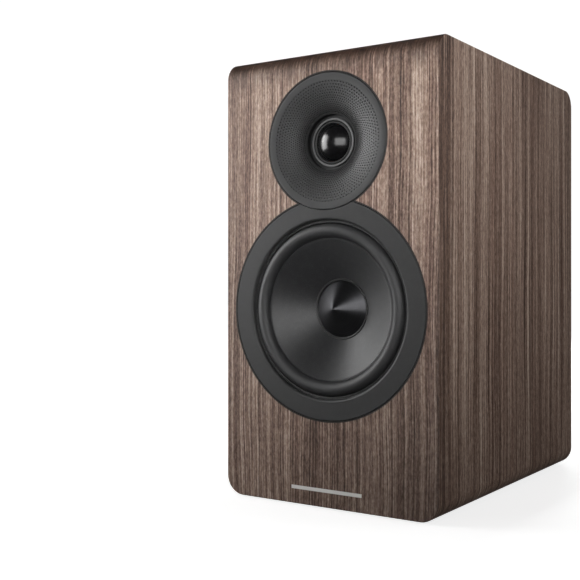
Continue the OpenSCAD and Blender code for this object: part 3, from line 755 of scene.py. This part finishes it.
def quilted(name, low, high, thin, sign):
    """A quilted sheet between two corners, low against the wall. It is thin along one axis, 0 or 1."""
    hem, cell, grid = 9, 30, 2.5
    wide_axis = 1 - thin
    wide, tall = abs(high[wide_axis] - low[wide_axis]), high[2] - low[2]
    thick = abs(high[thin] - low[thin])
    columns, rows = int(wide / grid), int(tall / grid)
    points = []
    for layer in (0, 1):
        for j in range(rows + 1):
            for i in range(columns + 1):
                u, v = i / columns, j / rows
                edge = min(u * wide, (1 - u) * wide, v * tall, (1 - v) * tall)
                swell = min(1.0, edge / hem) ** 0.5
                stitches = math.sin(math.pi * u * wide / cell) * math.sin(math.pi * v * tall / cell)
                quilt = 0.82 + 0.18 * abs(stitches)
                fleece = 0.02 * math.sin(i * 2.1 + j * 1.3) * math.sin(i * 0.9 - j * 1.7)
                outer = thick * (0.5 + 0.5 * (0.35 + 0.6 * swell * quilt))
                off = outer if layer else 0.2 * (1 - swell)
                point = [0.0, 0.0, low[2] + v * tall]
                point[wide_axis] = min(low[wide_axis], high[wide_axis]) + u * wide
                point[thin] = low[thin] + sign * max(0.0, off * (1 + fleece) * 0.98)
                points.append(tuple(point))
    size = (columns + 1) * (rows + 1)
    faces = []
    for layer in (0, size):
        for j in range(rows):
            for i in range(columns):
                k = layer + j * (columns + 1) + i
                faces.append([k, k + 1, k + columns + 2, k + columns + 1])
    rim = list(range(columns))
    rim += [columns + j * (columns + 1) for j in range(rows)]
    rim += [size - 1 - i for i in range(columns)]
    rim += [(rows - j) * (columns + 1) for j in range(rows)]
    faces += band(rim, [k + size for k in rim])
    return mesh_object(name, points, faces, 80)


def wadding():
    """Quilted sheets of fibre inside the side and rear walls."""
    wall, rear = WIDTH / 2 - 15, DEPTH - 15
    sheets = (
        ("wadding_left", (-wall, 84, 20), (12 - wall, 206, 262), 0, 1),
        ("wadding_right", (wall, 84, 20), (wall - 12, 206, 262), 0, -1),
        ("wadding_rear", (-50, rear, 104), (50, rear - 14, 232), 1, -1),
    )
    for sheet in sheets:
        dress(quilted(*sheet), "wadding", "cabinet", "acoustic_wadding")


# ---- Woofer ----

# Rim and neck as (radius, depth), the radius where the slope starts, and the slope's curve
CONE_RIM, CONE_NECK, CONE_START, CONE_POWER = (47.1, 4.1), (17.9, 21.2), 46.2, 1.08


def cone_depth(radius):
    rise = max(0, CONE_START - radius) / (CONE_START - CONE_NECK[0])
    return CONE_RIM[1] + (CONE_NECK[1] - CONE_RIM[1]) * rise ** CONE_POWER


def trim_ring():
    """The flat ring round the woofer, with a bite taken out for the tweeter's rim."""
    profile = rounded([
        (RING_R, 0, 0.4), (RING_R, DRIVER_SINK, 0), (57.1, DRIVER_SINK, 0), (57.1, 2.62, 0.3),
        (58.0, 2.62, 0.3), (58.1, 2.93, 0), (58.6, 2.93, 0.2), (58.72, 1.7, 0.8), (59.15, 0, 1.9),
    ], 8)
    ring = placed("trim_ring", turned(profile, 384), WOOFER_Z)
    bite = turned([(0, -2), (GUIDE_R + RIM_GAP, -2), (GUIDE_R + RIM_GAP, 5), (0, 5)], 384, False)
    cut(ring, placed("bite", bite, TWEETER_Z))
    evened(ring)
    dress(ring, "ring_plastic", "cabinet", "woofer_trim_ring")


def woofer_roll():
    """The half-roll surround: its foot lies on the basket's rim, its inner edge behind the cone's rim."""
    centre, outer, skin = (52.05, 5.19), 4.94, 0.8
    foot = math.degrees(math.asin((centre[1] - 4.3) / outer))
    inner_foot = math.degrees(math.asin((centre[1] - 4.3) / (outer - skin)))
    front = arc(centre, outer, -foot, foot - 180, 40)
    back = arc(centre, outer - skin, inner_foot - 180, -inner_foot, 40)
    profile = [(59.8, 3.5), (57.25, 3.5), (56.98, 3.7)] + front
    profile += [(46.9, 4.85), (45.9, 4.85), (45.9, 5.4), (47.9, 5.4)] + back + [(56.1, 4.3), (59.8, 4.3)]
    roll = placed("woofer_roll", turned(profile, 320), WOOFER_Z, sharp=50)
    flex(roll, "woofer_diaphragm", radial_share(WOOFER_Z, 56.9, 47.3), "roll_rubber", "woofer_surround")


def woofer_cone():
    """The cone, curved a little from its rim to its neck."""
    steps, skin = 48, 0.6
    radii = [CONE_START + (CONE_NECK[0] - CONE_START) * i / steps for i in range(steps + 1)]
    front = [CONE_RIM] + [(r, cone_depth(r)) for r in radii]
    back = [(r, d + skin) for r, d in reversed(front)]
    cone = placed("cone", turned(front + back, 320), WOOFER_Z)
    dress(cone, "cone_fibre", "woofer_diaphragm", "woofer_cone")


def cap_bead():
    """The thin raised ring round the cap."""
    inner, outer = 19.1, 20.4
    profile = rounded([
        (inner, cone_depth(inner), 0), (inner, cone_depth(inner) - 0.95, 0.3),
        (outer - 0.35, cone_depth(outer) - 0.72, 0.35), (outer, cone_depth(outer), 0),
    ], 6)
    bead = placed("cap_bead", turned(profile, 320), WOOFER_Z)
    dress(bead, "ring_plastic", "woofer_diaphragm", "woofer_cap_ring")


def pointed_cap():
    """The spun cap: straight-sided, with a small rounded tip and a rolled rim."""
    rim_r, tip_d, tip_r, skin = 18.9, 8.3, 1.2, 0.5
    rim_d = cone_depth(rim_r)
    slope = math.degrees(math.atan((rim_d - tip_d) / rim_r))
    tip = arc((0, tip_d + tip_r), tip_r, -90, slope - 90, 10)
    side = line(tip[-1], (rim_r - 0.15, rim_d - 0.15), 24)
    inner_r = rim_r - skin / math.sin(math.radians(slope))
    inner = [(inner_r, cone_depth(inner_r) - 0.12), (0, tip_d + 2.2)]
    profile = [(0, tip_d)] + tip[1:] + side + [(rim_r, rim_d)] + inner
    cap = placed("pointed_cap", turned(profile, 320, False), WOOFER_Z)
    dress(cap, "cap_metal", "woofer_diaphragm", "woofer_dust_cap")


def spider():
    """The woven suspension behind the cone: waves between two flat edges, and a collar on the former."""
    inner, outer, waves, swing, depth, thick = 20, 36, 4, 1.3, 31.2, 0.4
    collar_r, neck_r, rim_r, steps = 18.15, 18.65, 42.5, 120

    def wave(radius):
        turn = 2 * math.pi * waves * (radius - inner) / (outer - inner)
        return depth - (swing * math.sin(turn) if inner < radius < outer else 0)

    radii = [neck_r + (rim_r - neck_r) * i / steps for i in range(steps + 1)]
    profile = [(collar_r, 30.2), (neck_r, 30.2)] + [(r, wave(r)) for r in radii]
    profile += [(r, wave(r) + thick) for r in reversed(radii)] + [(neck_r, 32.6), (collar_r, 32.6)]
    cloth = placed("spider_cloth", turned(profile, 192), WOOFER_Z, sharp=50)
    flex(cloth, "woofer_diaphragm", radial_share(WOOFER_Z, outer, inner), "spider_cloth", "woofer_spider")


def tube(route, radius, sides=12, steps=6):
    """A round lead along a smooth curve through the route's points, in cabinet millimetres."""
    ends = [route[0]] + route + [route[-1]]
    path = []
    for before, here, after, later in zip(ends, ends[1:], ends[2:], ends[3:]):
        for step in range(steps):
            t = step / steps
            path.append(here + (after - before) * t / 2
                        + (2 * before - 5 * here + 4 * after - later) * t * t / 2
                        + (3 * here - before - 3 * after + later) * t ** 3 / 2)
    path.append(route[-1])
    points, faces = [], []
    side = Vector((1, 0, 0))
    for i, here in enumerate(path):
        heading = (path[min(i + 1, len(path) - 1)] - path[max(i - 1, 0)]).normalized()
        lift = heading.cross(side).normalized()
        for k in range(sides):
            turn = 2 * math.pi * k / sides
            points.append(tuple(here + (side * math.cos(turn) + lift * math.sin(turn)) * radius))
    rings = [range(start, start + sides) for start in range(0, len(points), sides)]
    for here, there in zip(rings, rings[1:]):
        faces += band(here, there)
    faces += [list(rings[0]), list(rings[-1])]
    return points, faces


def lead_outs():
    """The two braids from the cone's back to the terminal strip."""
    near, far, apart = 26.4, 49.6, 3
    drops = ((near, 16.4), (30, 20.5), (36, 24.6), (42, 25.5), (far, 23.6))
    leads = []
    for x in (-apart, apart):
        leads.append(tube([Vector((x, depth, WOOFER_Z - drop)) for drop, depth in drops], 0.5))
    obj = mesh_object("lead_outs", *joined(leads))
    still = far - 2
    span = still - near - 1.5
    flex(obj, "woofer_diaphragm", lambda p: (still - (WOOFER_Z - p.z)) / span, "copper", "woofer_lead_outs")


# ---- Tweeter ----


def guide_depth(radius):
    rise = max(0, GUIDE_FLAT - radius) / (GUIDE_FLAT - THROAT[0])
    return THROAT[1] * rise ** GUIDE_POWER


def waveguide():
    """The waveguide, with rows of small round pits whose spacing grows with the radius.

    Each pit lies in a cell between two circles and two rays, with split steps along each side.
    """
    columns, rows, split = 108, 14, 4
    first_r, last_r = 19.6, 40.2
    pit_depth = 0.6
    segments = columns * split
    growth = (last_r / first_r) ** (1 / rows)

    outer = rounded([
        (39.8, SEAT, 0), (39.8, DRIVER_SINK, 0), (GUIDE_R, DRIVER_SINK, 0), (GUIDE_R, 0, 0.4),
        (GUIDE_FLAT, 0, 0),
    ], 6)
    outer += [(r, guide_depth(r)) for r in np.linspace(GUIDE_FLAT, last_r, 7)[1:]]
    inner = [(r, guide_depth(r)) for r in np.linspace(first_r, THROAT[0], 4)]
    wall_r = THROAT[0] - 0.1
    inner += [(THROAT[0] - 0.08, THROAT[1] + 0.12), (wall_r, THROAT[1] + 0.4), (wall_r, SEAT)]
    points, faces = turned(outer, segments, False)
    low = len(points) - segments
    more_points, more_faces = turned(inner, segments, False)
    faces += [[i + len(points) for i in face] for face in more_faces]
    high = len(points)
    points += more_points
    faces += band(range(segments), range(len(points) - segments, len(points)))

    def on_guide(radius, angle, sink=0.0):
        return (radius * math.sin(angle), radius * math.cos(angle), guide_depth(radius) + sink)

    circles = [range(high, high + segments)]
    for row in range(1, rows):
        circles.append(range(len(points), len(points) + segments))
        radius = first_r * growth ** row
        points += [on_guide(radius, 2 * math.pi * k / segments) for k in range(segments)]
    circles.append(range(low, low + segments))

    # Painted shade at each point: the throat's wall wholly, and the pits less with the radius
    wall = range(high + (len(inner) - 2) * segments, high + len(inner) * segments)
    shade = dict.fromkeys(wall, 1.0)
    # The circles of a pit, as shares of its radius and of its depth
    pit_rings = ((1.0, 0.0), (0.86, 0.55), (0.55, 0.95))
    around = 4 * split
    for row in range(rows):
        under, over = circles[row], circles[row + 1]
        inside, outside = first_r * growth ** row, first_r * growth ** (row + 1)
        shift = split // 2 * (row % 2)
        darkness = 1 - 0.65 * row / rows
        rays = []
        for column in range(columns):
            angle = 2 * math.pi * (column * split + shift) / segments
            rays.append([len(points) + s for s in range(split - 1)])
            points += [on_guide(inside + (outside - inside) * s / split, angle) for s in range(1, split)]
        for column in range(columns):
            start = column * split + shift
            ends = [(start + s) % segments for s in range(split + 1)]
            left, right = rays[column], rays[(column + 1) % columns]
            previous = [under[k] for k in ends] + right + [over[k] for k in reversed(ends)] + left[::-1]
            radius = (inside + outside) / 2
            pit_r = 0.44 + 0.006 * (radius - first_r)
            angle = 2 * math.pi * (start + split / 2) / segments
            for size, sink in pit_rings:
                ring = [len(points) + s for s in range(around)]
                for s in range(around):
                    way = math.radians(225 + 360 * s / around)
                    r = radius + pit_r * size * math.sin(way)
                    turn = angle + pit_r * size * math.cos(way) / radius
                    points.append(on_guide(r, turn, pit_depth * sink))
                faces += band(previous, ring)
                if sink:
                    shade.update(dict.fromkeys(ring, darkness))
                previous = ring
            bottom = len(points)
            points.append(on_guide(radius, angle, pit_depth))
            shade[bottom] = darkness
            faces += band(previous, [bottom] * around)

    guide = placed("waveguide", (points, faces), TWEETER_Z)
    pit_shade = guide.data.attributes.new("pit_shade", "FLOAT", "POINT")
    pit_shade.data.foreach_set("value", [shade.get(i, 0.0) for i in range(len(points))])
    dress(guide, "guide_plastic", "cabinet", "tweeter_waveguide")


def clamp_ring():
    """The bright ring that holds the tweeter's surround down."""
    profile = rounded([
        (14.7, SEAT - 0.3, 0), (14.7, 8.65, 0.25), (16.1, 8.65, 0.25), (16.1, SEAT - 0.3, 0),
    ], 6)
    ring = placed("clamp_ring", turned(profile, 256), TWEETER_Z)
    dress(ring, "clamp_metal", "cabinet", "tweeter_clamp_ring")


def tweeter_roll():
    """The dome's small surround, with its rim under the clamp ring."""
    middle, outer, skin = 13.45, 0.95, 0.3
    rim_r = middle + 2.64
    profile = arc((middle, SEAT), outer, -180, -24, 18)
    profile += [(rim_r, SEAT - skin), (rim_r, SEAT), (middle + outer - skin, SEAT)]
    profile += arc((middle, SEAT), outer - skin, -2, -178, 16)
    roll = placed("tweeter_roll", turned(profile, 224), TWEETER_Z, sharp=50)
    flex(roll, "tweeter_diaphragm", radial_share(TWEETER_Z, 14.4, 12.5), "roll_rubber", "tweeter_surround")


def tweeter_dome():
    """The dome: a thin cap of a ball."""
    edge, height, skin = 12.4, 5.4, 0.25
    ball = (edge * edge + height * height) / (2 * height)
    centre = (0, SEAT - height + ball)
    sweep = math.degrees(math.asin(edge / ball))
    inner_sweep = math.degrees(math.acos((centre[1] - SEAT) / (ball - skin)))
    front = arc(centre, ball, -90, sweep - 90, 40)
    back = arc(centre, ball - skin, inner_sweep - 90, -90, 40)
    front[0], back[-1] = (0, front[0][1]), (0, back[-1][1])
    dome = placed("dome", turned(front + back, 224, False), TWEETER_Z)
    dress(dome, "dome_gloss", "tweeter_diaphragm", "tweeter_dome")


# ---- Terminals ----

# Distances out from the rear face: the plate, the bosses on it, and the two ends of a knob
PLATE_FACE, BOSS_FACE, KNOB_BASE = 2.3, 4.8, 5.8
REACH = (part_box("red_knob")[1].y - FRONT_Y) / MM - DEPTH
KNOB_R = 8.5
POST_BORE_R = 3.08
SCREW_X, SCREW_Z = 42, 24


def terminal_plate():
    """The plate, with a boss round each post, and holes for the posts and the screws."""
    outline = rectangle(PLATE_HALF[0], -PLATE_HALF[1], PLATE_HALF[1], 6, 10)
    plate = behind("binding_plate", prism(outline, -0.7, PLATE_FACE), PLATE_Z)
    bevelled(plate, 0.6)
    for x in (-POST_X, POST_X):
        boss = turned(rounded([
            (0, 1.5, 0), (11.0, 1.5, 0), (11.0, PLATE_FACE + 0.02, 0), (9.0, PLATE_FACE + 0.3, 0.8),
            (9.0, BOSS_FACE, 0.5), (0, BOSS_FACE, 0),
        ], 5), 128, False)
        cut(plate, behind("boss", boss, PLATE_Z, x), "UNION")
    holes = [(x, 0, 3.05) for x in (-POST_X, POST_X)]
    holes += [(x, up, 1.6) for x in (-SCREW_X, SCREW_X) for up in (-SCREW_Z, SCREW_Z)]
    for x, up, radius in holes:
        drill = turned([(0, -3), (radius, -3), (radius, 8), (0, 8)], 64, False)
        cut(plate, behind("drill", drill, PLATE_Z + up, x))
    evened(plate)
    dress(plate, "terminal_plastic", "cabinet", "terminal_plate")


def terminal_screws():
    """Pan-head screws with a cross recess."""
    profile = rounded([
        (0, -13, 0), (1.0, -13, 0), (1.3, -12, 0), (1.3, 0, 0), (2.8, 0, 0.1), (2.8, 1.0, 0.5),
        (1.4, 1.6, 0.8), (0, 1.6, 0),
    ], 4)
    shape = turned([(r, d + PLATE_FACE) for r, d in profile], 64, False)
    arm, slit = 1.5, 0.3
    screws = []
    for x in (-SCREW_X, SCREW_X):
        for up in (-SCREW_Z, SCREW_Z):
            screw = behind("plate_screws", shape, PLATE_Z + up, x)
            for half_wide, half_tall in ((arm, slit), (slit, arm)):
                bar = prism(rectangle(half_wide, -half_tall, half_tall), PLATE_FACE + 0.6, PLATE_FACE + 3)
                cut(screw, behind("cross", bar, PLATE_Z + up, x))
            screws.append(screw)
    group = screws[0]
    for screw in screws[1:]:
        cut(group, screw, "UNION")
    smoothed(group.data, 30)
    dress(group, "black_screw", "cabinet", "terminal_screws")


def washer(name, x, body, node):
    """The loose washer between a boss and its knob."""
    bore, rim = POST_BORE_R, 7.8
    profile = rounded([
        (bore, BOSS_FACE, 0), (rim, BOSS_FACE, 0.2), (rim, KNOB_BASE, 0.3), (bore, KNOB_BASE, 0.1),
    ])
    obj = behind(name, turned(profile, 128), PLATE_Z, x)
    dress(obj, "gold_plate", body, node)


def knob(name, x, slot, body, node):
    """A grip with scooped flutes, a smooth collar, and a dished end."""
    flutes, scoop_depth = 12, 0.75
    base_round, end_round = 0.4, 1.4
    profile = rounded([
        (POST_BORE_R, KNOB_BASE, 0), (KNOB_R, KNOB_BASE, base_round), (KNOB_R, REACH, end_round),
        (5.6, REACH, 0.4), (5.0, REACH - 0.7, 0.4), (3.6, REACH - 0.7, 0.3), (POST_BORE_R, REACH - 1.1, 0),
    ], 6)
    side = [i for i, (r, d) in enumerate(profile) if r > KNOB_R - 1e-3]
    split = min(side, key=lambda i: profile[i][1]) + 1
    straight = REACH - end_round - KNOB_BASE - base_round
    rows = [(KNOB_R, KNOB_BASE + base_round + straight * i / 24) for i in range(1, 24)]
    points, faces = turned(profile[:split] + rows + profile[split:], 288)
    shaped = []
    for a, b, depth in points:
        radius, angle = math.hypot(a, b), math.atan2(a, b)
        flute = math.cos(flutes * angle) * 0.5 + 0.5
        run = min(max((depth - KNOB_BASE - 2.6) / 2.0, 0), 1)
        outward = min(max((radius - 6.2) / 1.6, 0), 1)
        scoop = scoop_depth * flute ** 1.6 * run * run * (3 - 2 * run) * outward
        shaped.append((a * (radius - scoop) / radius, b * (radius - scoop) / radius, depth))
    obj = behind(name, (shaped, faces), PLATE_Z, x)
    dress(obj, slot, body, node)


# ---- Every visual piece ----

walnut_skin()
front_strip()
rubber_feet()
port_liner()
wadding()
trim_ring()
woofer_roll()
woofer_cone()
cap_bead()
pointed_cap()
spider()
lead_outs()
waveguide()
clamp_ring()
tweeter_roll()
tweeter_dome()
terminal_plate()
terminal_screws()
washer("washer_red", POST_X, "red_clamp", "red_washer")
washer("washer_black", -POST_X, "black_clamp", "black_washer")
knob("grip_red", POST_X, "knob_red", "red_grip", "red_knob")
knob("grip_black", -POST_X, "knob_black", "black_grip", "black_knob")

# ---- Materials of the CAD pieces that stay ----

slot_of = {part["node"]: part["material_slot"] for part in frame["record"]["subparts"]}
for node, obj in frame["nodes"].items():
    if not obj.hide_render:
        obj.data.materials.clear()
        obj.data.materials.append(BAFFLE if node == "front_baffle" else FINISHES[slot_of[node]])

# ---- Floor and light ----


def floor():
    """A plain pale floor, large enough to reach the horizon, that glows to white away from the object."""
    f = Finish("floor", Roughness=0.6, Specular_IOR_Level=0.1, Emission_Color=(1, 1, 1, 1))
    cloud = f.noise(f.place(), 0.004, 2)
    material = f.wear(f.ramp(cloud, (0, (183, 183, 183)), (1, (187, 187, 187))))
    glow = f.spread(f.length(f.place()), 130, 330, 0.77, 1.0)
    f.tree.links.new(glow, f.shader.inputs["Emission Strength"])
    reach, level = 12.0, cad_box[0].z
    corners = rectangle(reach, -reach, reach)
    mesh = bpy.data.meshes.new("floor")
    mesh.from_pydata([(x, y, level) for x, y in corners], [], [(0, 1, 2, 3)])
    mesh.materials.append(material)
    obj = bpy.data.objects.new("floor", mesh)
    bpy.context.scene.collection.objects.link(obj)
    obj.visible_diffuse = obj.visible_glossy = False


def softbox(name, place, target, size, power, spread=180, card=False, hidden=False):
    """A rectangular soft light at a place, turned towards a target, both in frame metres.

    Its spread is in degrees. A card shows only as a reflection in glossy surfaces, and a hidden light
    never shows as one.
    """
    light = bpy.data.lights.new(name, "AREA")
    light.shape = "RECTANGLE"
    light.size, light.size_y = size
    light.energy = power
    light.spread = math.radians(spread)
    obj = bpy.data.objects.new(name, light)
    obj.location = place
    obj.rotation_euler = (Vector(target) - Vector(place)).to_track_quat("-Z", "Y").to_euler()
    obj.visible_camera = False
    obj.visible_diffuse = not card
    obj.visible_glossy = not hidden
    bpy.context.scene.collection.objects.link(obj)


def surroundings():
    """A white background that lights the object only a little."""
    seen_strength, lit_strength = 1.05, 0.04
    world = bpy.data.worlds.new("studio")
    bpy.context.scene.world = world
    world.use_nodes = True
    tree = world.node_tree
    lit, seen = tree.nodes["Background"], tree.nodes.new("ShaderNodeBackground")
    for background, strength in ((seen, seen_strength), (lit, lit_strength)):
        background.inputs[0].default_value = (1, 1, 1, 1)
        background.inputs[1].default_value = strength
    choose = tree.nodes.new("ShaderNodeMixShader")
    path = tree.nodes.new("ShaderNodeLightPath")
    tree.links.new(path.outputs["Is Camera Ray"], choose.inputs[0])
    tree.links.new(lit.outputs[0], choose.inputs[1])
    tree.links.new(seen.outputs[0], choose.inputs[2])
    tree.links.new(choose.outputs[0], tree.nodes["World Output"].inputs[0])


def studio():
    """The key light at the left, fills for the right side and the top front, and lights for the rear.

    The cards stand near the camera, at the far left and behind, for the metal, the cone and the rear.
    """
    front_top = spot(0, 0, 280)
    softbox("key", (-0.66, -0.47, 0.34), spot(-50, 0, 230), (0.42, 0.6), 2.1, 110)
    softbox("front_card", (0.42, -1.3, 0.38), spot(0, 0, 180), (1.1, 0.7), 10, card=True)
    softbox("side_card", (-1.04, -0.48, 0.64), spot(0, 0, 150), (0.2, 0.5), 1.0, card=True)
    softbox("side_fill", (1.2, 0.6, 0.6), spot(WIDTH / 2, 135, 200), (0.6, 0.6), 4.5)
    softbox("front_spot", (1.0, -1.0, 0.5), front_top, (0.3, 0.3), 0.3, 20, hidden=True)
    softbox("upper_spot", (0.2, -1.2, 0.6), front_top, (0.3, 0.3), 0.12, 20, hidden=True)
    softbox("rear_fill", (-0.5, 1.6, 0.7), spot(0, DEPTH, 150), (0.8, 0.8), 9, hidden=True)
    softbox("rear_card", (-0.5, 1.4, 0.15), spot(0, DEPTH, 100), (0.6, 0.4), 4, card=True)
    softbox("overhead", (0.0, 0.02, 0.8), (0.0, 0.02, 0.3), (0.05, 0.12), 0.12, 28)


floor()
surroundings()
studio()
bpy.context.scene.view_settings.view_transform = "Standard"
